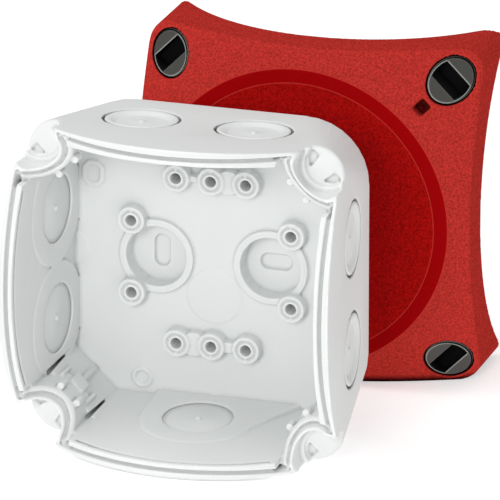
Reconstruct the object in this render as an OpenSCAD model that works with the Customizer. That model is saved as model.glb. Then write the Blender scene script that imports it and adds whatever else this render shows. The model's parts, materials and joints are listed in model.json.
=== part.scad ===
// Square surface-mounted cable junction box with a lift-off lid.
// The base stands on its bottom wall and opens towards -Y. The lid stands behind it.
// The origin is the centre of the base's back face, +Z up and +Y into the wall.

/* [Base] */
// Outer half width of the base at the wall face
base_half_back = 45.3; // [44:0.1:46]
// Outer half width of the base at its front rim
base_half_front = 50.2; // [49.5:0.1:50.5]
// Depth from the wall face to the front of the rim, at mid side
rim_depth = 56.5; // [54:0.5:58]
// Radius of the arch that the rim follows along each side
arch_r = 60; // [58:1:64]
// Inner half width at the floor
floor_half = 43.2; // [42.8:0.1:43.4]
// Inner half width at the rim
rim_half_inner = 45.7; // [45.4:0.1:46]
// Corner radius at the wall face
corner_r_back = 19; // [16:1:20]
// Corner radius that the corner tapers to at the front rim
corner_r_front = 1.5; // [1:0.5:3]
// Height of the floor above the wall face
floor_y = 6.9; // [6.5:0.1:7.5]
// Thickness of the floor plate
floor_t = 2.4; // [2:0.1:3]

/* [Device bosses] */
// Height of the boss tops above the wall face
boss_y = 10.8; // [10:0.1:11.5]
// Outer radius of a boss
boss_r = 4.2; // [3.8:0.1:4.4]
// Radius of the blind pilot holes
pilot_r = 1.65; // [1.5:0.05:1.8]
// Depth of the blind pilot holes
pilot_depth = 8; // [6:0.5:8.5]
// Distance between neighbouring bosses in a row
row_pitch = 10.75; // [10:0.05:11]
// Distance from the centre to a row
row_z = 25.6; // [25:0.1:26]
// Side boss position across the base
side_x = 24.6; // [24:0.1:25]
// Side boss position up the base
side_z = 11.2; // [11:0.1:11.6]

/* [Fixing cups] */
// Distance from the centre to a cup
cup_x = 17.6; // [17:0.1:18]
// Outer radius of a cup
cup_r = 11.4; // [11:0.1:11.6]
// Inner radius of a cup
cup_r_inner = 9.3; // [9:0.1:9.6]
// Height of the cup's ring above the wall face
cup_y = 8.2; // [8:0.1:9]
// Thickness of the cup's bottom
cup_bottom = 2.2; // [1.8:0.1:2.6]
// Width of the break-out slot
slot_w = 5; // [4.5:0.1:5.5]
// Length of the break-out slot
slot_l = 10; // [9:0.5:11]
// Skin left in the break-out slot
slot_skin = 0.8; // [0.6:0.1:1]

/* [Cable entries] */
// Distance from the centre to a paired entry
entry_pitch = 17.1; // [16.8:0.1:17.6]
// Depth of the entry centres from the wall face
entry_y = 22.3; // [21.5:0.1:23]
// Radius of the ring around an entry
entry_ring_r = 11.6; // [11.4:0.1:11.9]
// Radius of the hole that the membrane fills
entry_hole_r = 10.5; // [10:0.1:10.8]
// Radius of the thickened pad inside the wall
entry_pad_r = 17.3; // [17.2:0.1:17.6]
// Height of the thickened pad
entry_pad_t = 0.9; // [0.6:0.1:1.2]

/* [Lid] */
// Outer half width of the lid
lid_half = 52; // [51.9:0.1:52.3]
// Corner radius of the lid
lid_corner_r = 7; // [6:0.5:8]
// Depth of the closed box from the wall face to the lid's plateau
closed_depth = 70; // [69:0.5:71]
// How far the skirt reaches over the rim
lid_overlap = 3; // [2.5:0.5:3.5]
// Outer radius of the flat plateau with its bevel
plateau_r = 46.4; // [45:0.1:47]
// Inner radius of the bevel ring
plateau_r_inner = 42.2; // [41:0.1:43]
// Drop of the bevel ring from the plateau to the cone
bevel_drop = 0.5; // [0.3:0.1:0.8]
// Slope of the cone outside the plateau
cone_slope = 0.75; // [0.7:0.01:0.8]
// Thickness of the lid's skin
lid_t = 2.2; // [2:0.1:2.6]
// Position of the closed lid's origin when it stands behind the base
lid_offset = [13.2, 102, 1.8];

/* [Lid fasteners] */
// Fastener position from the lid's centre
fast_pos = 43.6; // [43.2:0.1:44]
// Head radius
fast_r = 6.4; // [6.2:0.05:6.5]
// Radius of the lid's bore round a head
fast_bore_r = 6.75; // [6.7:0.05:6.9]
// Width of the driver slot
driver_w = 5; // [4.5:0.1:5.5]
// Depth of the driver slot's floor from the wall face, with the lid closed
driver_floor = 52.5; // [52:0.5:55]

/* [Hidden] */
$fn = 64;
big = 200;
eps = 0.01;
grey = "#DDE0DF";
pale = "#E4E6E5";
red = "#9A0A0E";
dark = "#3A3A38";
// Walls
draft = (base_half_front - base_half_back) / rim_depth;
draft_angle = atan(draft);
function outer_half(y) = base_half_back + draft * y;
inner_draft = (rim_half_inner - floor_half) / (rim_depth - floor_y);
function inner_half(y) = floor_half + inner_draft * (y - floor_y);
ridge_half = 48.1;
groove_mid = 47.55;
groove_w = 1.2;
groove_deep = 1.4;
line_depth = 2.6;
line_w = 0.8;
line_deep = 0.6;
line_end = 30;
// Corner pillars
pillar_front = 37.5;
pillar_top = 30;
step_r = 8;
step_y = 36.9;
strip_y = 34;
strip_slope = 0.31;
pillar_sum = 73.5;
notch_r = 12.2;
notch_slope = 1;
collar_r = 11.5;
collar_back = 25;
channel_r = 6.6;
strip_half = 2.6;
strip_half_outer = 3.3;
side_pocket_deep = 1.3;
side_pocket_far = 6.4;
side_pocket_end = -0.8;
nub_r = 1.1;
nub_x = 12;
nub_side = 3.5;
nub_back = 33;
nub_front = 37.2;
rib_foot = 9;
// Lid
seat_front = 51;
seat_back = 48.8;
neck_r = 4;
neck_bore_r = 4.25;
gasket_t = 1.5;
gasket_mid = 47.1;
gasket_w = 1.6;
gasket_r = 9.6;
rib_w = 4.2;
skirt_t = 1.7;
tube_r = 8.9;
pocket_r = 51.9;
pocket_side = 3.7;
pocket_floor = 61.5;
pocket_wall = 1.2;
prong_x = -3.4;
prong_l = 2.6;
prong_side = 4.4;
prong_w = 1.6;
prong_back = 35.2;
prong_front = 40;
neck_back = 37.7;
slot_rim = 0.6;
head_gap = 0.15;
// Entries
entry_wall_t = outer_half(entry_y) - inner_half(entry_y);
ring_deep = 1.8;
flange_r = 10.8;
dish_r = 7.6;
dish_deep = 1.1;
crest_r = 10.2;
dot_r = 0.8;
nipple_r = 1.1;
membrane_proud = 0.2;
flare_x = 30;
// Floor
web_y = boss_y - 0.9;
lobe_y = boss_y - 0.6;
lobe_r = 3.7;
web_thin = 1.8;
web_wide = 3.2;
boss_foot = 1.2;
boss_groove_in = 2.4;
boss_groove_out = 3.1;
boss_groove_deep = 0.6;
mark_h = 0.3;
pad_h = 0.6;
back_rib = 2.2;
back_wall = 2.6;
back_hub_r = 7;

// Rounded square of the given half width, drawn in X and Z
module rounded_square(half, r) {
    for (turn = [0, 90]) rotate(turn) square([2 * half, 2 * (half - r)], center = true);
    for (x = [-1, 1], z = [-1, 1]) translate([x * (half - r), z * (half - r)]) circle(r);
}

// Straight prism along Y, from depth y0 to depth y1 in front of the wall face
module along_y(y0, y1) {
    translate([0, -y0, 0]) rotate([90, 0, 0]) linear_extrude(y1 - y0) children();
}

// Drafted tub between two rounded squares
module tapered_tub(half0, r0, y0, half1, r1, y1) {
    hull() {
        along_y(y0, y0 + eps) rounded_square(half0, r0, $fn = 32);
        along_y(y1 - eps, y1) rounded_square(half1, r1, $fn = 32);
    }
}

// Everything behind the rim's arches, with its crest at the given depth
module arch_volume(crest, r) {
    for (turn = [0, 90]) rotate([0, turn, 0])
        translate([0, r - crest, 0]) cylinder(r = r, h = 2 * big, center = true, $fn = 180);
}

// Repeats its children at the four corners, with +X pointing outwards
module at_corners(pos) {
    for (turn = [45:90:315])
        rotate([0, -turn, 0]) translate([pos * sqrt(2), 0, 0]) children();
}

// Space in front of a plane that slopes outwards at a corner, with its depth given at local x = 0
module in_front_of(depth, slope) {
    inner = -30;
    outer = 30;
    translate([0, 0, -20]) linear_extrude(40) polygon([
        [inner, -depth - slope * inner], [outer, -depth - slope * outer], [outer, -big], [inner, -big]]);
}

// The space over a corner pillar, whose front climbs outwards to meet the rim
module corner_notch(grow) {
    at_corners(fast_pos) intersection() {
        along_y(0, big) {
            circle(notch_r - grow);
            translate([0, -notch_r + grow]) square([30, 2 * (notch_r - grow)]);
        }
        in_front_of(pillar_front + grow + notch_slope * collar_r, notch_slope);
    }
}

// What lies behind the rim and the pillars, moved forward by grow
module rim_volume(grow) {
    difference() {
        arch_volume(rim_depth + grow, arch_r);
        corner_notch(grow);
    }
}

// Outer skin of the base up to its arches, with a step down to the pillars inside
module base_body() {
    intersection() {
        tapered_tub(base_half_back, corner_r_back, 0, base_half_front, corner_r_front, rim_depth);
        arch_volume(rim_depth, arch_r);
    }
}

// Inside of the tub above the floor, without the corner pillars
module base_cavity() {
    difference() {
        tapered_tub(floor_half, 3, floor_y, rim_half_inner, 3, rim_depth + 1);
        at_corners(pillar_sum / 2) translate([25, -pillar_top / 2, 0])
            cube([50, pillar_top, 60], center = true);
        at_corners(fast_pos) along_y(collar_back, rim_depth + 2) {
            circle(collar_r);
            translate([0, -collar_r]) square([20, 2 * collar_r]);
        }
        inner_rim();
        entry_pads();
        pillar_details();
    }
    pillar_slots();
}

// Ridge that carries the inner rim along each side
module inner_rim() {
    intersection() {
        difference() {
            along_y(rim_depth - 30, rim_depth) rounded_square(rim_half_inner + 3, 3);
            along_y(rim_depth - 31, rim_depth + 1) square(2 * rim_half_inner, center = true);
        }
        rim_volume(0);
    }
}

// Groove between the two ridges of the rim, along the sides and round the pillars
module rim_groove() {
    difference() {
        along_y(20, rim_depth + 1) difference() {
            gasket_outline(groove_mid + groove_w / 2, gasket_r - groove_w / 2);
            gasket_outline(groove_mid - groove_w / 2, gasket_r + groove_w / 2);
        }
        rim_volume(-groove_deep);
    }
}

// Fine line inside each wall, just behind the inner ridge
module rim_line() {
    difference() {
        intersection() {
            along_y(line_end, rim_depth) difference() {
                square(2 * (rim_half_inner + line_deep), center = true);
                square(2 * (rim_half_inner - 3), center = true);
            }
            arch_volume(rim_depth - line_depth + line_w, arch_r);
            union() for (turn = [0, 90])
                along_y(0, rim_depth) rotate(turn) square([big, 2 * line_end], center = true);
        }
        arch_volume(rim_depth - line_depth, arch_r);
    }
}

// Outline of the channel, open to the outside
module channel_outline(r) {
    circle(r);
    translate([0, -r + 1]) square([20, 2 * r - 2]);
}

// Channel at each corner, with a strip between two shallow pockets
module corner_channel() {
    at_corners(fast_pos) {
        along_y(step_y, big) channel_outline(step_r);
        intersection() {
            along_y(0, big) channel_outline(channel_r);
            in_front_of(strip_y, -strip_slope);
        }
        intersection() {
            along_y(0, big) for (side = [-1, 1]) polygon([
                [-channel_r + 1.4, side * strip_half], [side_pocket_end, side * strip_half_outer],
                [side_pocket_end, side * side_pocket_far], [-3, side * (side_pocket_far - 0.8)]]);
            in_front_of(strip_y - side_pocket_deep, -strip_slope);
        }
    }
    // The inner ridge runs down onto the collars
    intersection() {
        corner_notch(0);
        along_y(20, big) square(2 * ridge_half, center = true);
    }
}

// Pegs on the collars and ribs on the pillars' faces, inside the box
module pillar_details() {
    top = -pillar_top + 1;
    at_corners(fast_pos) {
        for (side = [-1, 1]) {
            along_y(nub_back, nub_front) translate([-nub_x, side * nub_side]) circle(nub_r, $fn = 24);
            translate([0, 0, side * 5.4 - 0.5]) linear_extrude(1)
                polygon([[-rib_foot, -18], [-rib_foot - 2, -22], [-rib_foot - 2, top], [-rib_foot, top]]);
        }
        translate([0, 0, -0.8]) linear_extrude(1.6)
            polygon([[-rib_foot, -7], [-rib_foot - 1.2, -8], [-rib_foot - 3.2, -25], [-rib_foot, top]]);
        translate([0, 0, -2.4]) linear_extrude(4.8)
            polygon([[-rib_foot, -21], [-rib_foot - 3, -22.5], [-rib_foot - 3, top], [-rib_foot, top]]);
    }
}

// Narrow slots that taper to the floor, where a pillar meets the walls
module pillar_slots() {
    top = -pillar_top - 1;
    at_corners(fast_pos) for (side = [-1, 1])
        translate([-11.5, 0, 0]) rotate([0, 90, 0]) linear_extrude(4.6)
            polygon([[side * 8, top], [side * 9.4, top], [side * 9.2, -12], [side * 8.9, -12]]);
}

// Thickened pads on the inner walls round the entries
module entry_pads() {
    at_entries(-entry_wall_t - entry_pad_t) cylinder(r = entry_pad_r, h = entry_wall_t);
    // The single bottom pad runs straight to the floor, and flares out on one side
    at_entry(6, -entry_wall_t - entry_pad_t) linear_extrude(entry_wall_t)
        polygon([[-flare_x, entry_y], [-entry_pad_r, -2], [entry_pad_r, 0], [entry_pad_r, entry_y]]);
}

// Entry places: wall turn, sideways position
function entry_places() = [[0, -1], [0, 1], [-90, 1], [-90, -1], [90, -1], [90, 1], [180, 0]];

// Moves to one entry with +Z along its outward normal, on the outer face
module at_entry(i, lift) {
    place = entry_places()[i];
    rotate([0, place[0], 0]) translate([place[1] * entry_pitch, -entry_y, outer_half(entry_y)])
        rotate([-draft_angle, 0, 0]) translate([0, 0, lift]) children();
}

module at_entries(lift) {
    for (i = [0:6]) at_entry(i, lift) children();
}

// Ring recess on the outside and the hole through the wall
module entry_cut() {
    at_entries(-ring_deep) cylinder(r = entry_ring_r, h = 2 * ring_deep);
    at_entries(-8) cylinder(r = entry_hole_r, h = 12);
}

module boss_places() {
    for (x = [-1:1], z = [-1, 1]) translate([x * row_pitch, 0, z * row_z]) children();
    for (x = [-1, 1], z = [-1, 1]) translate([x * side_x, 0, z * side_z]) children();
}

// Bosses, with a web on one side of each row's middle boss and a blank lobe on the other
module bosses() {
    boss_places() along_y(boss_foot, boss_y) circle(boss_r);
    for (s = [-1, 1]) {
        translate([-s * row_pitch / 2, 0, s * row_z]) along_y(boss_foot, web_y)
            square([row_pitch, s > 0 ? web_thin : web_wide], center = true);
        translate([s * row_pitch / 2, 0, s * row_z]) along_y(boss_foot, lobe_y) circle(lobe_r);
    }
}

// Low marks and pads on the floor
module floor_marks() {
    top = floor_y + mark_h;
    translate([0, 0, -11]) along_y(floor_y - 1, top) circle(8.2);
    translate([-22.4, 0, -38.6]) along_y(floor_y - 1, floor_y + pad_h) difference() {
        circle(3.1);
        circle(2.2);
    }
    translate([-37.2, 0, 23.5]) along_y(floor_y - 1, floor_y + pad_h) difference() {
        for (side = [-1, 1]) polygon([
            [-3.3, 0], [-3.3, side * 2], [-1.6, side * 3.9],
            [1.6, side * 3.9], [3.3, side * 2], [3.3, 0]]);
        for (side = [-1, 1]) translate([0, side * 0.8]) circle(2.1);
    }
    translate([-44, 0, 0]) along_y(floor_y - 1, top) circle(5);
    translate([0, 0, -43.6]) along_y(floor_y - 1, top) circle(2.4);
}

module cups() {
    for (s = [-1, 1]) translate([s * cup_x, 0, 0]) along_y(0, cup_y) circle(cup_r);
}

module cup_hollows() {
    for (s = [-1, 1]) translate([s * cup_x, 0, 0]) along_y(cup_bottom, cup_y + 1) circle(cup_r_inner);
}

// Break-out slot: a recess from the front that leaves a thin skin
module slot_cut(x, turn) {
    translate([x, 0, 0]) along_y(slot_skin, cup_bottom + 1) rotate(turn) {
        square([slot_l - slot_w, slot_w], center = true);
        for (s = [-1, 1]) translate([s * (slot_l - slot_w) / 2, 0]) circle(slot_w / 2);
    }
}

// Hollow under the floor plate, ribbed so that the back still bears on the wall
module back_hollow() {
    difference() {
        along_y(-1, floor_y - floor_t)
            rounded_square(base_half_back - back_wall, corner_r_back - back_wall + 0.6);
        along_y(-2, floor_y) square([back_rib, big], center = true);
        along_y(-2, floor_y) square([big, back_rib], center = true);
        along_y(-2, floor_y) circle(back_hub_r);
        cups();
        boss_places() along_y(boss_foot, floor_y) circle(boss_r);
    }
}

module enclosure_base() {
    color(grey) difference() {
        union() {
            difference() {
                base_body();
                base_cavity();
            }
            bosses();
            cups();
            floor_marks();
        }
        cup_hollows_clear();
        slot_cut(-cup_x, 90);
        slot_cut(cup_x, 0);
        back_hollow();
        corner_channel();
        rim_groove();
        rim_line();
        entry_cut();
        boss_places() pilot_hole();
    }
}

// Cup hollows, kept off the bosses that stand on the ring
module cup_hollows_clear() {
    difference() {
        cup_hollows();
        boss_places() along_y(0, boss_y) circle(boss_r);
    }
}

// Blind pilot hole with a ring groove round it
module pilot_hole() {
    along_y(boss_y - pilot_depth, boss_y + 1) circle(pilot_r);
    along_y(boss_y - boss_groove_deep, boss_y + 1) difference() {
        circle(boss_groove_out);
        circle(boss_groove_in);
    }
}

// Elastic membrane: a flanged dish with a centre dot, and a nipple on the inside
module membrane(i) {
    inside = -entry_wall_t - membrane_proud;
    color(pale) at_entry(i, 0) {
        translate([0, 0, inside]) cylinder(r = entry_hole_r, h = -inside - ring_deep + 0.4);
        rotate_extrude() polygon([
            [0, -ring_deep], [flange_r, -ring_deep], [flange_r, -0.3], [crest_r, 0],
            [crest_r - 0.9, -0.2], [dish_r, -dish_deep], [dot_r, -dish_deep],
            [dot_r - 0.2, -dish_deep + 0.4], [0, -dish_deep + 0.4]]);
        translate([0, 0, inside - 0.7]) cylinder(r1 = nipple_r / 2, r2 = nipple_r, h = 0.8);
    }
}

// Lid in its closed place: the volume behind the plateau and cone, moved back by t
module lid_front(t) {
    y0 = closed_depth - t;
    edge = 85;
    rotate([90, 0, 0]) rotate_extrude() polygon([
        [0, -10], [edge, -10], [edge, y0 - bevel_drop - cone_slope * (edge - plateau_r)],
        [plateau_r, y0 - bevel_drop], [plateau_r_inner, y0], [0, y0]]);
}

// Outline that follows the rim and goes round the fasteners
module gasket_outline(half, r) {
    difference() {
        rounded_square(half, 2);
        for (turn = [45:90:315]) rotate(turn) {
            translate([fast_pos * sqrt(2), 0]) circle(r);
            translate([fast_pos * sqrt(2), -r]) square([30, 2 * r]);
        }
    }
}

module seal_band(w) {
    difference() {
        gasket_outline(gasket_mid + w / 2, gasket_r - w / 2);
        gasket_outline(gasket_mid - w / 2, gasket_r + w / 2);
    }
}

// Skin and skirt of the lid, with the skirt's rear edge arched like the rim
module lid_shell() {
    difference() {
        intersection() {
            along_y(0, closed_depth) rounded_square(lid_half, lid_corner_r);
            lid_front(0);
        }
        intersection() {
            along_y(-1, closed_depth) rounded_square(lid_half - skirt_t, lid_corner_r - skirt_t);
            lid_front(lid_t);
        }
        arch_volume(rim_depth - lid_overlap, arch_r);
    }
}

// Plain cone inside the lid's skin, which ends the ribs and tubes
module rib_clip() {
    y0 = closed_depth - bevel_drop - lid_t / 2;
    far = 90;
    rotate([90, 0, 0]) rotate_extrude() polygon([
        [0, -10], [far, -10], [far, y0 - cone_slope * (far - plateau_r)], [plateau_r, y0], [0, y0]]);
}

// Rib that holds the gasket, and the tubes that guide the fasteners
module lid_ribs() {
    intersection() {
        union() {
            difference() {
                along_y(1, closed_depth) seal_band(rib_w);
                rim_volume(gasket_t);
                difference() {
                    arch_volume(rim_depth + gasket_t, arch_r);
                    along_y(0, big) square(2 * (ridge_half - 0.3), center = true);
                }
            }
            at_corners(fast_pos) along_y(seat_back, closed_depth) circle(tube_r);
            rotate([0, -45, 0]) translate([pocket_r, 0, 0]) along_y(pocket_floor - pocket_wall, closed_depth)
                square(pocket_side + 2 * pocket_wall, center = true);
        }
        rib_clip();
        along_y(1, closed_depth + 5) rounded_square(lid_half - skirt_t / 2, lid_corner_r - skirt_t / 2);
    }
}

module lid_closed() {
    difference() {
        union() {
            lid_shell();
            lid_ribs();
        }
        at_corners(fast_pos) along_y(seat_front, closed_depth) circle(fast_bore_r);
        at_corners(fast_pos) along_y(0, closed_depth) circle(neck_bore_r);
        at_corners(fast_pos) along_y(0, seat_back) circle(channel_r);
        lid_pocket();
    }
}

// Small square pocket beside the top right fastener
module lid_pocket() {
    rotate([0, -45, 0]) translate([pocket_r, 0, 0])
        along_y(pocket_floor, closed_depth + 1) square(pocket_side, center = true);
}

module lid() {
    color(red) translate(lid_offset) lid_closed();
}

module lid_gasket() {
    color(dark) translate(lid_offset) difference() {
        intersection() {
            along_y(20, closed_depth) seal_band(gasket_w);
            rim_volume(gasket_t);
        }
        rim_volume(0);
    }
}

// Quarter-turn fastener: slanted head with a driver slot inside its rim, neck and a forked end
module fastener(turn) {
    color(dark) translate(lid_offset) intersection() {
        rotate([0, -turn, 0]) translate([fast_pos * sqrt(2), 0, 0]) difference() {
            union() {
                along_y(seat_front, closed_depth) circle(fast_r);
                along_y(neck_back, seat_front + 1) circle(neck_r);
                for (s = [-1, 1]) along_y(prong_back, prong_front)
                    translate([prong_x, s * prong_side - prong_w / 2]) square([prong_l, prong_w]);
            }
            along_y(driver_floor, closed_depth) intersection() {
                square([driver_w, 30], center = true);
                circle(fast_r - slot_rim);
            }
        }
        lid_front(head_gap);
    }
}

enclosure_base();
membrane(0);  // membrane_top_left
membrane(1);  // membrane_top_right
membrane(2);  // membrane_left_upper
membrane(3);  // membrane_left_lower
membrane(4);  // membrane_right_upper
membrane(5);  // membrane_right_lower
membrane(6);  // membrane_bottom
lid();
lid_gasket();
fastener(135);  // fastener_top_left
fastener(45);  // fastener_top_right
fastener(225);  // fastener_bottom_left
fastener(315);  // fastener_bottom_right
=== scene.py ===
"""Looks of a square junction box: a grey moulded base with soft cable entries and a loose red lid."""

import json
import logging
import math
from dataclasses import dataclass, field
from enum import Enum
from typing import Callable, Sequence

import bpy
from mathutils import Matrix, Vector

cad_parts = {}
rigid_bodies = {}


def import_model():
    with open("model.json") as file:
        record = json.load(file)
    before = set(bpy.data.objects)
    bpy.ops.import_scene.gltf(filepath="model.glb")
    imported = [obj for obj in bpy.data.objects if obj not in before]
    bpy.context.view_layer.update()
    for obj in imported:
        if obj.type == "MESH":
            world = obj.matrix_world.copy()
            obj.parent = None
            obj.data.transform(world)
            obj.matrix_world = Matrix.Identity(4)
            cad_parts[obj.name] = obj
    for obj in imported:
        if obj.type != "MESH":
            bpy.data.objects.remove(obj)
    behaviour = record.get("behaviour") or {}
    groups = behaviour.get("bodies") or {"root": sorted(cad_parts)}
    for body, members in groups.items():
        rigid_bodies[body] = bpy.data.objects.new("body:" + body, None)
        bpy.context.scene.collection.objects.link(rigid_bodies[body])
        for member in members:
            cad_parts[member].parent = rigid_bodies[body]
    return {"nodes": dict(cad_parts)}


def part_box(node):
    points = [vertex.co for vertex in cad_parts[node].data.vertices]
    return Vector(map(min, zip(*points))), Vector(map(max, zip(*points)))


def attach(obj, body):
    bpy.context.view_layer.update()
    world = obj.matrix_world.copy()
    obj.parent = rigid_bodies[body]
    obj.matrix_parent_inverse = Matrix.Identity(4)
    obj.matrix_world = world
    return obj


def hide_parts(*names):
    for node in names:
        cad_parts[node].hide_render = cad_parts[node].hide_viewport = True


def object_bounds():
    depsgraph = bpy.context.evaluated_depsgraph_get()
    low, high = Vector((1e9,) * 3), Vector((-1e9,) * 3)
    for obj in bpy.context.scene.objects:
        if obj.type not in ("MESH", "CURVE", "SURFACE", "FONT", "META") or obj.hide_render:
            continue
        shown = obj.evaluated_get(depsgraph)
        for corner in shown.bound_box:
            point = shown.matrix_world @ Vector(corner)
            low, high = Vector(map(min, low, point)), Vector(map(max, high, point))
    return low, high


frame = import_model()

LOG = logging.getLogger("junction_box")
CAD_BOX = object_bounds()
MM = 0.001
QUARTER = math.pi / 2
# Points closer than this are one point, and faces smaller than a sliver are dropped.
POINT_GAP = 0.001 * MM
SLIVER = 0.015 * MM
# Facets of a round piece, and samples of each crease or edge lookup.
ROUND_SIDES = 96
LOOKUP_SAMPLES = 8
# How open a point is when it counts as deep in a crease, and as clear of it, for the painted crease shade.
CREASE_OPEN = (0.4, 0.94)
# How filled the inside of a point is when it counts as on an edge, and as clear of it, for the painted edge
# highlight.
EDGE_FILL = (0.55, 0.95)
# Faces whose normals agree by this much point the same way.
SAME_WAY = 0.99
# Edges sharper than this stay sharp in the shading.
SHARP = math.radians(40)


class Wall(Enum):
    """Walls of the base, by the turn about +Y, in degrees, that brings the top wall there."""

    TOP = 0
    LEFT = -90
    RIGHT = 90
    BOTTOM = 180


# ---------------------------------------------------------------- small tools


def linear(code: str) -> tuple[float, float, float, float]:
    """Turns an sRGB hex colour into linear values.

    Args:
        code: the colour, such as "#E4E7E6".

    Returns:
        Red, green, blue and alpha, linear.
    """
    parts = [int(code[i : i + 2], 16) / 255 for i in (1, 3, 5)]
    toe, knee = 0.04045, 12.92
    out = [p / knee if p <= toe else ((p + 0.055) / 1.055) ** 2.4 for p in parts]
    return (out[0], out[1], out[2], 1.0)


def add(
    tree: bpy.types.NodeTree, kind: str, settings: dict | None = None, links: dict | None = None
) -> bpy.types.Node:
    """Adds a node with its settings and links.

    Args:
        tree: the node tree to add to.
        kind: the node's type, such as "ShaderNodeBump".
        settings: values for attributes, or for input sockets by name or number.
        links: the output socket that feeds each input socket.

    Returns:
        The new node.
    """
    node = tree.nodes.new(kind)
    for name, value in (settings or {}).items():
        if isinstance(name, str) and hasattr(node, name):
            setattr(node, name, value)
        else:
            node.inputs[name].default_value = value
    for name, source in (links or {}).items():
        tree.links.new(source, node.inputs[name])
    return node


def select_only(piece: bpy.types.Object) -> None:
    """Makes the piece the only selected and active object."""
    bpy.ops.object.select_all(action="DESELECT")
    piece.select_set(True)
    bpy.context.view_layer.objects.active = piece


def edit_all(piece: bpy.types.Object) -> None:
    """Opens the piece in edit mode with everything selected."""
    select_only(piece)
    bpy.ops.object.mode_set(mode="EDIT")
    bpy.ops.mesh.select_all(action="SELECT")


def pick_faces(piece: bpy.types.Object, test: Callable[[bpy.types.MeshPolygon], bool]) -> None:
    """Opens the piece in edit mode with only the faces that pass the test selected."""
    select_only(piece)
    bpy.ops.object.mode_set(mode="EDIT")
    bpy.ops.mesh.select_all(action="DESELECT")
    bpy.ops.mesh.select_mode(type="FACE")
    bpy.ops.object.mode_set(mode="OBJECT")
    for face in piece.data.polygons:
        face.select = test(face)
    bpy.ops.object.mode_set(mode="EDIT")


def close_edit() -> None:
    """Goes back to object mode."""
    bpy.ops.object.mode_set(mode="OBJECT")


def apply_modifier(piece: bpy.types.Object, kind: str, **settings: object) -> None:
    """Adds a modifier with its settings and applies it."""
    select_only(piece)
    modifier = piece.modifiers.new(kind.lower(), kind)
    for name, value in settings.items():
        setattr(modifier, name, value)
    bpy.ops.object.modifier_apply(modifier=modifier.name)


def smooth_by_angle(piece: bpy.types.Object) -> None:
    """Shades the piece smooth, apart from its sharp edges."""
    select_only(piece)
    bpy.ops.object.shade_smooth_by_angle(angle=SHARP)


def settle(piece: bpy.types.Object) -> None:
    """Moves the piece's place into its mesh, so that its object sits at the origin."""
    select_only(piece)
    bpy.ops.object.transform_apply(location=True, rotation=True, scale=True)


def clean(piece: bpy.types.Object, gap: float) -> None:
    """Merges points closer than the gap, so that no sliver or stray face is left."""
    edit_all(piece)
    bpy.ops.mesh.remove_doubles(threshold=gap)
    bpy.ops.mesh.dissolve_degenerate(threshold=gap / 2)
    bpy.ops.mesh.delete_loose()
    close_edit()


def copy_of(node: str, name: str) -> bpy.types.Object:
    """Copies a CAD node's mesh into a new object with its points merged."""
    source = frame["nodes"][node]
    piece = bpy.data.objects.new(name, source.data.copy())
    bpy.context.scene.collection.objects.link(piece)
    piece.data.materials.clear()
    edit_all(piece)
    bpy.ops.mesh.remove_doubles(threshold=POINT_GAP)
    close_edit()
    return piece


def join(piece: bpy.types.Object, details: Sequence[bpy.types.Object]) -> None:
    """Joins the details into the piece."""
    bpy.ops.object.select_all(action="DESELECT")
    for detail in details:
        detail.select_set(True)
    piece.select_set(True)
    bpy.context.view_layer.objects.active = piece
    bpy.ops.object.join()


def weld(
    piece: bpy.types.Object, grain: float, rounds: int, triangles: int,
    softer: Callable[[bpy.types.MeshPolygon], bool] | None = None, extra_rounds: int = 0
) -> None:
    """Fuses overlapping solids into one skin with softly rounded edges.

    Args:
        piece: the piece, made of closed solids.
        grain: the size of the remesh's cells, in metres.
        rounds: smoothing passes, which set how round the edges come out.
        triangles: the most triangles that the skin keeps.
        softer: a test for the faces that are rounded further.
        extra_rounds: smoothing passes for those faces.
    """
    apply_modifier(piece, "REMESH", mode="VOXEL", voxel_size=grain, adaptivity=0.0)
    apply_modifier(piece, "SMOOTH", factor=0.5, iterations=rounds)
    if softer:
        pick_faces(piece, softer)
        bpy.ops.mesh.vertices_smooth(factor=0.5, repeat=extra_rounds)
        close_edit()
    count = sum(len(face.vertices) - 2 for face in piece.data.polygons)
    if count > triangles:
        apply_modifier(piece, "DECIMATE", ratio=triangles / count)
        clean(piece, SLIVER)
    select_only(piece)
    bpy.ops.object.shade_smooth()


def finish_piece(
    piece: bpy.types.Object, body: str, node: str, material: bpy.types.Material
) -> None:
    """Dresses a piece, hangs it on its body, hides the CAD part it stands for, and logs what it rides on."""
    if not piece.data.materials:
        piece.data.materials.append(material)
    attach(piece, body)
    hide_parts(node)
    LOG.info("%s: %d faces, rides on %s", piece.name, len(piece.data.polygons), body)


# ---------------------------------------------------------------- finishes


def start_material(name: str) -> bpy.types.Material:
    """Makes a material with an empty node tree."""
    material = bpy.data.materials.new(name)
    material.use_nodes = True
    material.node_tree.nodes.clear()
    return material


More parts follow.
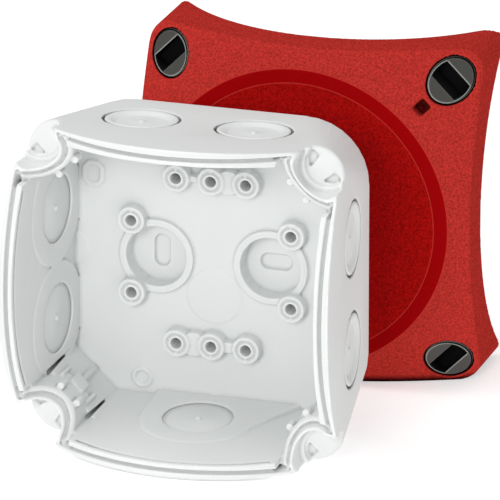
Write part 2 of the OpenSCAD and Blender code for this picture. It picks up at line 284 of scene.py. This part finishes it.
def shade_edges(
    tree: bpy.types.NodeTree, colour: bpy.types.NodeSocket, crease: tuple[str, float], edge: tuple[str, float]
) -> bpy.types.NodeSocket:
    """Paints shade into a colour in creases, and paints a highlight on it along edges.

    Args:
        tree: the material's node tree.
        colour: the colour to start from.
        crease: the painted shade colour deep in a crease, and how far a crease reaches, in metres.
        edge: the painted highlight colour on an edge, and how far it reaches, in metres.

    Returns:
        The shaded colour.
    """
    # Painted shade: darker where the surroundings close in, in creases.
    hollow = add(tree, "ShaderNodeAmbientOcclusion", {"samples": LOOKUP_SAMPLES, "Distance": crease[1]})
    deep = add(tree, "ShaderNodeMapRange", {"From Min": CREASE_OPEN[0], "From Max": CREASE_OPEN[1]},
               {"Value": hollow.outputs["AO"]})
    shaded = add(tree, "ShaderNodeMix", {"data_type": "RGBA", 6: linear(crease[0])},
                 {0: deep.outputs["Result"], 7: colour})
    # Painted highlight: paler along convex edges.
    ridge = add(tree, "ShaderNodeAmbientOcclusion",
                {"samples": LOOKUP_SAMPLES, "inside": True, "Distance": edge[1]})
    edge_highlight = add(tree, "ShaderNodeMapRange", {"From Min": EDGE_FILL[0], "From Max": EDGE_FILL[1]},
                 {"Value": ridge.outputs["AO"]})
    return add(tree, "ShaderNodeMix", {"data_type": "RGBA", 6: linear(edge[0])},
               {0: edge_highlight.outputs["Result"], 7: shaded.outputs[2]}).outputs[2]


@dataclass(frozen=True)
class MouldedPlastic:
    """Injection-moulded plastic from a spark-eroded tool: a satin skin, with a painted highlight along its
    edges and painted shade in its creases.
    """

    name: str
    colour: str
    shade: str
    # The painted highlight colour on edges and the painted shade colour deep in creases.
    edge: str
    crease: str
    roughness: float
    # How far the painted crease shade and the painted edge highlight reach.
    crease_mm: float = 1.6
    edge_mm: float = 0.8
    cloud_mm: float = 30.0
    # The real spark-eroded grain is about 0.05 mm: it is drawn at 0.35 mm, so that it shows.
    grain_mm: float = 0.35
    depth_mm: float = 0.01
    bump: float = 0.5
    ior: float = 1.53
    specular: float = 0.5

    def build(self) -> bpy.types.Material:
        """Makes the material."""
        material = start_material(self.name)
        tree = material.node_tree
        place = add(tree, "ShaderNodeTexCoord").outputs["Object"]
        cloud = add(tree, "ShaderNodeTexNoise", {"Scale": 1 / (self.cloud_mm * MM), "Detail": 3.0},
                    {"Vector": place})
        colours = {"data_type": "RGBA", 6: linear(self.shade), 7: linear(self.colour)}
        tint = add(tree, "ShaderNodeMix", colours, {0: cloud.outputs["Fac"]})
        # Painted crease shade and painted edge highlight.
        shaded = shade_edges(tree, tint.outputs[2], (self.crease, self.crease_mm * MM),
                             (self.edge, self.edge_mm * MM))
        grain = add(tree, "ShaderNodeTexNoise", {"Scale": 1 / (self.grain_mm * MM), "Detail": 2.0},
                    {"Vector": place})
        bump = add(tree, "ShaderNodeBump", {"Strength": self.bump, "Distance": self.depth_mm * MM},
                   {"Height": grain.outputs["Fac"]})
        settings = {"Roughness": self.roughness, "IOR": self.ior, "Specular IOR Level": self.specular}
        shader = add(tree, "ShaderNodeBsdfPrincipled", settings,
                     {"Base Color": shaded, "Normal": bump.outputs["Normal"]})
        add(tree, "ShaderNodeOutputMaterial", {}, {"Surface": shader.outputs["BSDF"]})
        return material


@dataclass(frozen=True)
class GrainedLidPlastic:
    """Through-dyed red plastic: matt leathery grain on the plateau and ears, plain on the bevel ring, with
    the ears and skirt painted a lighter red as painted light, and painted highlights and shade on edges and
    in creases.
    """

    name: str
    centre: tuple[float, float]
    ring_inner: float
    ring_outer: float
    plateau: str = "#9E0F0E"
    ring: str = "#98060A"
    # The ears and skirt beyond the ring are painted this lighter red: painted light, where they tilt towards
    # the lamps.
    ears: str = "#B2302A"
    # The painted highlight colour on edges and along the ring's edge lines, and the painted shade colour in
    # creases.
    edge: str = "#C23A31"
    crease: str = "#120102"
    fleck: float = 0.28
    roughness: float = 0.5
    ior: float = 1.5
    # None, so that the grained skin stays matt and deep red where it is seen edge-on.
    specular: float = 0.0
    # The real grain is about 0.3 mm: it is drawn at 0.6 mm, so that it shows.
    grain_mm: float = 0.6
    # The bevel ring's two edges carry a painted highlight along a fine line.
    line_mm: float = 0.3
    line_share: float = 0.6
    depth_mm: float = 0.05
    bump: float = 0.6
    blend_mm: float = 0.4
    # How far the painted crease shade and the painted edge highlight reach.
    crease_mm: float = 3.0
    edge_mm: float = 0.7

    def build(self) -> bpy.types.Material:
        """Makes the material; plateau, ring and ears are told apart by their distance from the centre."""
        material = start_material(self.name)
        tree = material.node_tree
        place = add(tree, "ShaderNodeTexCoord").outputs["Object"]
        middle = (self.centre[0], 0, self.centre[1])
        offset = add(tree, "ShaderNodeVectorMath", {"operation": "SUBTRACT", 1: middle}, {0: place})
        flat = add(tree, "ShaderNodeVectorMath", {"operation": "MULTIPLY", 1: (1, 0, 1)},
                   {0: offset.outputs[0]})
        length = add(tree, "ShaderNodeVectorMath", {"operation": "LENGTH"}, {0: flat.outputs[0]})
        radius = length.outputs["Value"]
        half = self.blend_mm * MM / 2
        ringed, outer = [
            add(tree, "ShaderNodeMapRange", {"From Min": edge - half, "From Max": edge + half},
                {"Value": radius})
            for edge in (self.ring_inner, self.ring_outer)
        ]
        inner_colours = {"data_type": "RGBA", 6: linear(self.plateau), 7: linear(self.ring)}
        inner_tint = add(tree, "ShaderNodeMix", inner_colours, {0: ringed.outputs["Result"]})
        # Past the ring's outer edge the colour turns to the painted lighter red of the ears.
        tint = add(tree, "ShaderNodeMix", {"data_type": "RGBA", 7: linear(self.ears)},
                   {0: outer.outputs["Result"], 6: inner_tint.outputs[2]})
        # Painted highlight: fine paler lines along the ring's two edges.
        highlight_lines = [
            add(tree, "ShaderNodeMath", {"operation": "COMPARE", 1: edge, 2: self.line_mm * MM / 2},
                {0: radius})
            for edge in (self.ring_inner, self.ring_outer)
        ]
        highlighted = add(tree, "ShaderNodeMath", {"operation": "MAXIMUM"},
                    {0: highlight_lines[0].outputs[0], 1: highlight_lines[1].outputs[0]})
        ring_highlight = add(tree, "ShaderNodeMath", {"operation": "MULTIPLY", 1: self.line_share},
                    {0: highlighted.outputs[0]})
        ring = add(tree, "ShaderNodeMath", {"operation": "SUBTRACT"},
                   {0: ringed.outputs["Result"], 1: outer.outputs["Result"]})
        grainy = add(tree, "ShaderNodeMath", {"operation": "SUBTRACT", 0: 1.0}, {1: ring.outputs[0]})
        grain = add(tree, "ShaderNodeTexNoise", {"Scale": 1 / (self.grain_mm * MM), "Detail": 1.0},
                    {"Vector": place})
        dots = add(tree, "ShaderNodeMapRange", {"From Min": 0.3, "From Max": 0.7, "To Min": 1 - self.fleck,
                                                "To Max": 1 + self.fleck}, {"Value": grain.outputs["Fac"]})
        share = add(tree, "ShaderNodeMix", {2: 1.0}, {0: grainy.outputs[0], 3: dots.outputs["Result"]})
        flecked = add(tree, "ShaderNodeVectorMath", {"operation": "SCALE"},
                      {0: tint.outputs[2], "Scale": share.outputs[0]})
        edged = add(tree, "ShaderNodeMix", {"data_type": "RGBA", 7: linear(self.edge)},
                    {0: ring_highlight.outputs[0], 6: flecked.outputs[0]})
        # Painted crease shade and painted edge highlight.
        shaded = shade_edges(tree, edged.outputs[2], (self.crease, self.crease_mm * MM),
                             (self.edge, self.edge_mm * MM))
        height = add(tree, "ShaderNodeMath", {"operation": "MULTIPLY"},
                     {0: grain.outputs["Fac"], 1: grainy.outputs[0]})
        bump = add(tree, "ShaderNodeBump", {"Strength": self.bump, "Distance": self.depth_mm * MM},
                   {"Height": height.outputs[0]})
        settings = {"Roughness": self.roughness, "IOR": self.ior, "Specular IOR Level": self.specular}
        shader = add(tree, "ShaderNodeBsdfPrincipled", settings,
                     {"Base Color": shaded, "Normal": bump.outputs["Normal"]})
        add(tree, "ShaderNodeOutputMaterial", {}, {"Surface": shader.outputs["BSDF"]})
        return material


# ---------------------------------------------------------------- the base


@dataclass
class EnclosureBase:
    """The grey tub: a copy of the CAD solid with its moulded edges softly rounded."""

    finish: MouldedPlastic
    grain: float = 0.3 * MM
    rounds: int = 4
    triangles: int = 190000
    # The strip in each corner rolls over the outer wall from here on: out from the centre along the
    # diagonal, and forward from the wall face.
    roll_start: float = 60.5 * MM
    roll_back: float = 27.0 * MM
    roll_rounds: int = 40

    def is_roll(self, face: bpy.types.MeshPolygon) -> bool:
        """Tells whether a face is on the rolled outer end of a corner strip."""
        across = (abs(face.center.x) + abs(face.center.z)) / math.sqrt(2)
        return across > self.roll_start and face.center.y < -self.roll_back

    def build(self) -> bpy.types.Object:
        """Makes the tub and dresses it."""
        piece = copy_of("enclosure_base", "base_tub")
        weld(piece, self.grain, self.rounds, self.triangles, self.is_roll, self.roll_rounds)
        finish_piece(piece, "base", "enclosure_base", self.finish.build())
        return piece


@dataclass
class Membranes:
    """The seven soft cable entries: a flanged dish with a centre dot outside and a nipple inside."""

    finish: MouldedPlastic
    half_back: float = 45.3 * MM
    half_front: float = 50.2 * MM
    rim_depth: float = 56.5 * MM
    depth: float = 22.3 * MM
    pitch: float = 17.1 * MM
    flange_r: float = 10.8 * MM
    hole_r: float = 10.5 * MM
    flange_back: float = 1.8 * MM
    flange_front: float = 0.3 * MM
    inner_face: float = 3.46 * MM
    nipple_r: float = 1.1 * MM
    nipple_h: float = 0.7 * MM
    soft_edge: float = 0.16 * MM
    soft_angle: float = math.radians(15)
    # Each step of the outer face: how far it goes in, and how far it rises.
    dish: tuple[tuple[float, float], ...] = (
        (0.6 * MM, 0.3 * MM), (0.9 * MM, -0.2 * MM), (1.7 * MM, -0.9 * MM), (6.8 * MM, 0.0),
        (0.2 * MM, 0.4 * MM))
    places: tuple[tuple[str, Wall, int], ...] = (
        ("membrane_top_left", Wall.TOP, -1), ("membrane_top_right", Wall.TOP, 1),
        ("membrane_left_upper", Wall.LEFT, 1), ("membrane_left_lower", Wall.LEFT, -1),
        ("membrane_right_upper", Wall.RIGHT, -1), ("membrane_right_lower", Wall.RIGHT, 1),
        ("membrane_bottom", Wall.BOTTOM, 0))

    def model(self) -> bpy.types.Object:
        """Models one membrane at the origin, with +Z outwards."""
        thick = self.flange_back - self.flange_front
        bpy.ops.object.select_all(action="DESELECT")
        bpy.ops.mesh.primitive_cylinder_add(
            vertices=ROUND_SIDES, radius=self.flange_r, depth=thick,
            location=(0, 0, -self.flange_front - thick / 2))
        piece = bpy.context.object
        settle(piece)
        pick_faces(piece, lambda face: face.normal.z > SAME_WAY)
        for inwards, rise in self.dish:
            bpy.ops.mesh.inset(thickness=inwards, depth=rise)
        close_edit()
        pick_faces(piece, lambda face: face.normal.z < -SAME_WAY)
        bpy.ops.mesh.inset(thickness=self.flange_r - self.hole_r)
        bpy.ops.mesh.extrude_region_move(
            TRANSFORM_OT_translate={"value": (0, 0, self.flange_back - self.inner_face)})
        bpy.ops.mesh.inset(thickness=self.hole_r - self.nipple_r)
        bpy.ops.mesh.inset(thickness=self.nipple_r / 2, depth=self.nipple_h)
        close_edit()
        apply_modifier(piece, "BEVEL", width=self.soft_edge, segments=2, limit_method="ANGLE",
                       angle_limit=self.soft_angle)
        clean(piece, POINT_GAP)
        smooth_by_angle(piece)
        return piece

    def place(self, wall: Wall, side: int) -> Matrix:
        """Gives the place of an entry on a wall."""
        draft = (self.half_front - self.half_back) / self.rim_depth
        outwards = self.half_back + draft * self.depth
        turn = Matrix.Rotation(math.radians(wall.value), 4, "Y")
        tilt = Matrix.Rotation(-math.atan(draft), 4, "X")
        return turn @ Matrix.Translation((side * self.pitch, -self.depth, outwards)) @ tilt

    def build(self) -> None:
        """Models one membrane and copies it to its seven places."""
        material = self.finish.build()
        first = self.model()
        for node, wall, side in self.places:
            piece = bpy.data.objects.new(node + "_soft", first.data.copy())
            bpy.context.scene.collection.objects.link(piece)
            piece.matrix_world = self.place(wall, side)
            settle(piece)
            finish_piece(piece, "base", node, material)
        bpy.data.objects.remove(first)


# ---------------------------------------------------------------- the lid


@dataclass
class Lid:
    """The red lid with its gasket."""

    ring_inner: float = 42.2 * MM
    ring_outer: float = 46.4 * MM
    grain: float = 0.4 * MM
    rounds: int = 5
    triangles: int = 190000
    gasket_grain: float = 0.25 * MM
    gasket_rounds: int = 3
    gasket_triangles: int = 60000

    def build(self) -> None:
        """Makes the lid and its gasket and dresses them."""
        low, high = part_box("lid")
        centre = ((low[0] + high[0]) / 2, (low[2] + high[2]) / 2)
        piece = copy_of("lid", "lid_shell")
        weld(piece, self.grain, self.rounds, self.triangles)
        finish = GrainedLidPlastic("grained_red_plastic", centre, self.ring_inner, self.ring_outer)
        finish_piece(piece, "lid", "lid", finish.build())
        gasket = copy_of("lid_gasket", "lid_seal")
        weld(gasket, self.gasket_grain, self.gasket_rounds, self.gasket_triangles)
        # Moulded rubber: black and matt, with a painted greyish highlight along its edges and painted shade
        # in its creases.
        rubber = MouldedPlastic("seal_rubber", "#202020", "#181818", "#3A3A3A", "#080808", 0.7)
        finish_piece(gasket, "lid", "lid_gasket", rubber.build())


@dataclass
class Fasteners:
    """The four quarter-turn fasteners: a slanted head with a driver slot, a neck and a forked end."""

    finish: MouldedPlastic
    # The near-black painted shade for the slot and round the head.
    slot_shade: MouldedPlastic
    head_r: float = 6.4 * MM
    shoulder: float = 0.4 * MM
    shoulder_deep: float = 0.9 * MM
    rim: float = 0.5 * MM
    slot_w: float = 5.0 * MM
    slot_floor: float = 17.5 * MM
    slope: float = 0.75
    face: float = 12.15 * MM
    seat: float = 19.0 * MM
    neck_r: float = 4.0 * MM
    neck_end: float = 32.3 * MM
    prong: tuple[float, float, float] = (2.6 * MM, 4.8 * MM, 1.6 * MM)
    prong_at: tuple[float, float, float] = (-2.1 * MM, 32.4 * MM, 4.4 * MM)
    soft_edge: float = 0.28 * MM
    soft_angle: float = math.radians(30)

    def model(self) -> bpy.types.Object:
        """Models one fastener on the Y axis, with +X away from the lid's centre and the plateau at y = 0."""
        bpy.ops.object.select_all(action="DESELECT")
        bpy.ops.mesh.primitive_cylinder_add(
            vertices=ROUND_SIDES, radius=self.head_r, depth=self.seat, location=(0, self.seat / 2, 0),
            rotation=(QUARTER, 0, 0))
        piece = bpy.context.object
        settle(piece)
        for finish in (self.finish, self.slot_shade):
            piece.data.materials.append(finish.build())
        slant = Vector((self.slope, -1, 0)).normalized()
        edit_all(piece)
        bpy.ops.mesh.bisect(plane_co=(0, self.face + self.shoulder_deep, 0), plane_no=slant, use_fill=True,
                            clear_outer=True)
        close_edit()
        pick_faces(piece, lambda face: face.normal.dot(slant) > SAME_WAY)
        bpy.ops.mesh.inset(thickness=self.shoulder)
        bpy.ops.mesh.extrude_region_move(TRANSFORM_OT_translate={"value": (0, -self.shoulder_deep, 0)})
        # The shoulder's walls get the near-black painted shade.
        bpy.ops.mesh.select_more()
        self.paint(piece, 1)
        bpy.ops.mesh.select_less()
        self.paint(piece, 0)
        bpy.ops.mesh.inset(thickness=self.rim)
        inside = self.head_r - 2 * self.rim - self.shoulder
        for side in (-1, 1):
            bpy.ops.mesh.bisect(plane_co=(side * self.slot_w / 2, 0, 0), plane_no=(1, 0, 0))
            close_edit()
            pick_faces(piece, lambda face: face.normal.dot(slant) > SAME_WAY
                       and math.hypot(face.center.x, face.center.z) < inside)
        close_edit()
        pick_faces(piece, lambda face: face.normal.dot(slant) > SAME_WAY
                   and max(abs(face.center.x), abs(face.center.z)) < self.slot_w / 4)
        down = self.slot_floor - self.face
        bpy.ops.mesh.extrude_region_move(TRANSFORM_OT_translate={"value": (0, down, 0)})
        bpy.ops.transform.resize(value=(1, 0, 1), center_override=(0, self.slot_floor, 0))
        # The slot's walls and floor get the near-black painted shade.
        bpy.ops.mesh.select_more()
        self.paint(piece, 1)
        close_edit()
        pick_faces(piece, lambda face: face.normal.y > SAME_WAY and face.center.y > self.seat - self.rim)
        bpy.ops.mesh.inset(thickness=self.head_r - self.neck_r)
        bpy.ops.mesh.extrude_region_move(TRANSFORM_OT_translate={"value": (0, self.neck_end - self.seat, 0)})
        close_edit()
        join(piece, [self.model_prong(side, piece.data.materials[0]) for side in (-1, 1)])
        apply_modifier(piece, "BEVEL", width=self.soft_edge, segments=3, limit_method="ANGLE",
                       angle_limit=self.soft_angle)
        clean(piece, POINT_GAP)
        smooth_by_angle(piece)
        return piece

    def paint(self, piece: bpy.types.Object, number: int) -> None:
        """Gives the selected faces the head's finish (0) or the near-black painted shade of the slot and
        shoulder (1).
        """
        piece.active_material_index = number
        bpy.ops.object.material_slot_assign()

    def model_prong(self, side: int, material: bpy.types.Material) -> bpy.types.Object:
        """Models one prong of the forked end, narrowed at its tip."""
        x, y, z = self.prong_at
        bpy.ops.object.select_all(action="DESELECT")
        bpy.ops.mesh.primitive_cube_add(size=1, location=(x, y, side * z), scale=self.prong)
        prong = bpy.context.object
        prong.data.materials.append(material)
        settle(prong)
        pick_faces(prong, lambda face: face.normal.y > SAME_WAY)
        bpy.ops.mesh.inset(thickness=self.soft_edge, depth=self.soft_edge)
        close_edit()
        return prong

    def build(self) -> None:
        """Models one fastener and copies it to the four corners."""
        lid_low, lid_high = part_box("lid")
        lid_mid = (lid_low + lid_high) / 2
        first = self.model()
        for node in sorted(name for name in frame["nodes"] if name.startswith("fastener")):
            low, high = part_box(node)
            middle = (low + high) / 2
            piece = bpy.data.objects.new(node + "_head", first.data.copy())
            bpy.context.scene.collection.objects.link(piece)
            turn = math.atan2(middle.z - lid_mid.z, middle.x - lid_mid.x)
            there = Matrix.Translation((middle.x, lid_low.y, middle.z))
            piece.matrix_world = there @ Matrix.Rotation(-turn, 4, "Y")
            settle(piece)
            finish_piece(piece, node, node, piece.data.materials[0])
        bpy.data.objects.remove(first)


# ---------------------------------------------------------------- the studio


@dataclass
class Studio:
    """Floor, lights and camera."""

    azimuth: float = 17.8
    elevation: float = 19.2
    distance: float = 2.3218
    lens: float = 576.0
    aim: Vector = field(default_factory=lambda: Vector((0, -34.2, 0)) * MM)
    aside: float = 18.79 * MM
    above: float = 11.79 * MM
    floor_glow: float = 0.54
    world_glow: float = 0.48
    # Each light: its name, its place in metres, its side in metres and its power in watts.
    lights: tuple[tuple[str, tuple[float, float, float], float, float], ...] = (
        ("key", (0.05, -2.2, 0.9), 0.7, 18.5), ("top", (-0.4, -0.3, 1.6), 0.9, 10.0))

    def axes(self) -> tuple[Vector, Vector, Vector]:
        """Gives the camera's back, right and up directions."""
        az, el = math.radians(self.azimuth), math.radians(self.elevation)
        back = Vector((math.sin(az) * math.cos(el), -math.cos(az) * math.cos(el), math.sin(el)))
        right = Vector((math.cos(az), math.sin(az), 0))
        return back, right, back.cross(right)

    def build_camera(self) -> None:
        """Sets the camera at the view's angle."""
        back, right, up = self.axes()
        data = bpy.data.cameras.new("camera")
        data.lens = self.lens
        data.sensor_width = 36.0
        data.clip_end = 50.0
        camera = bpy.data.objects.new("camera", data)
        target = self.aim + right * self.aside + up * self.above
        rotation = Matrix((right, up, back)).transposed().to_4x4()
        camera.matrix_world = Matrix.Translation(target + back * self.distance) @ rotation
        bpy.context.scene.collection.objects.link(camera)
        bpy.context.scene.camera = camera

    def build_floor(self) -> None:
        """Lays the pale floor under the object."""
        low = CAD_BOX[0]
        bpy.ops.mesh.primitive_plane_add(size=30, location=(0, 0, low[2]))
        floor = bpy.context.object
        floor.name = "floor"
        material = bpy.data.materials.new("pale_floor")
        material.use_nodes = True
        shader = material.node_tree.nodes["Principled BSDF"]
        shader.inputs["Base Color"].default_value = linear("#D8D8D8")
        shader.inputs["Roughness"].default_value = 0.9
        shader.inputs["Emission Color"].default_value = (1, 1, 1, 1)
        shader.inputs["Emission Strength"].default_value = self.floor_glow
        floor.data.materials.append(material)

    def build_light(self, name: str, place: tuple[float, float, float], size: float, power: float) -> None:
        """Hangs one soft square light that faces the object."""
        data = bpy.data.lights.new(name, "AREA")
        data.size = size
        data.energy = power
        light = bpy.data.objects.new(name, data)
        light.location = place
        light.rotation_euler = (-Vector(place)).to_track_quat("-Z", "Y").to_euler()
        bpy.context.scene.collection.objects.link(light)

    def build(self) -> None:
        """Builds the studio."""
        self.build_camera()
        self.build_floor()
        for light in self.lights:
            self.build_light(*light)
        world = bpy.data.worlds.new("studio")
        world.use_nodes = True
        world.node_tree.nodes["Background"].inputs["Color"].default_value = (1, 1, 1, 1)
        world.node_tree.nodes["Background"].inputs["Strength"].default_value = self.world_glow
        bpy.context.scene.world = world
        bpy.context.scene.view_settings.view_transform = "Standard"


def main() -> None:
    """Builds every piece in order."""
    logging.basicConfig(level=logging.INFO, format="%(message)s")
    Studio().build()
    # Moulded ABS: pale satin grey, with a painted whitish highlight along edges and painted grey shade in the
    # creases.
    grey_abs = MouldedPlastic(
        "moulded_grey_abs", "#E5E7E6", "#E1E3E2", "#F4F5F4", "#808281", 0.5, crease_mm=1.0)
    # Moulded elastomer: the same grey, a little softer and more matt, with the same painted edge highlight
    # and crease shade.
    elastomer = MouldedPlastic("soft_grey_elastomer", "#E8EAE9", "#E4E6E5", "#F4F5F4", "#747675", 0.55)
    # Moulded nylon: near-black satin, with a painted highlight on the rims and slot edges and painted shade
    # in the creases.
    nylon = MouldedPlastic("dark_grey_nylon", "#3C3B37", "#353430", "#8F938D", "#0C0C0C", 0.5, edge_mm=0.45)
    # Painted shade: the nylon painted near-black deep in the slot and round the head, where no light comes
    # back out.
    painted_shade_slot_nylon = MouldedPlastic(
        "painted_shade_nylon_slot", "#0B0B0B", "#080808", "#161616", "#020202", 0.8, specular=0.1)
    EnclosureBase(grey_abs).build()
    Membranes(elastomer).build()
    Lid().build()
    Fasteners(nylon, painted_shade_slot_nylon).build()


if __name__ == "__main__":
    main()
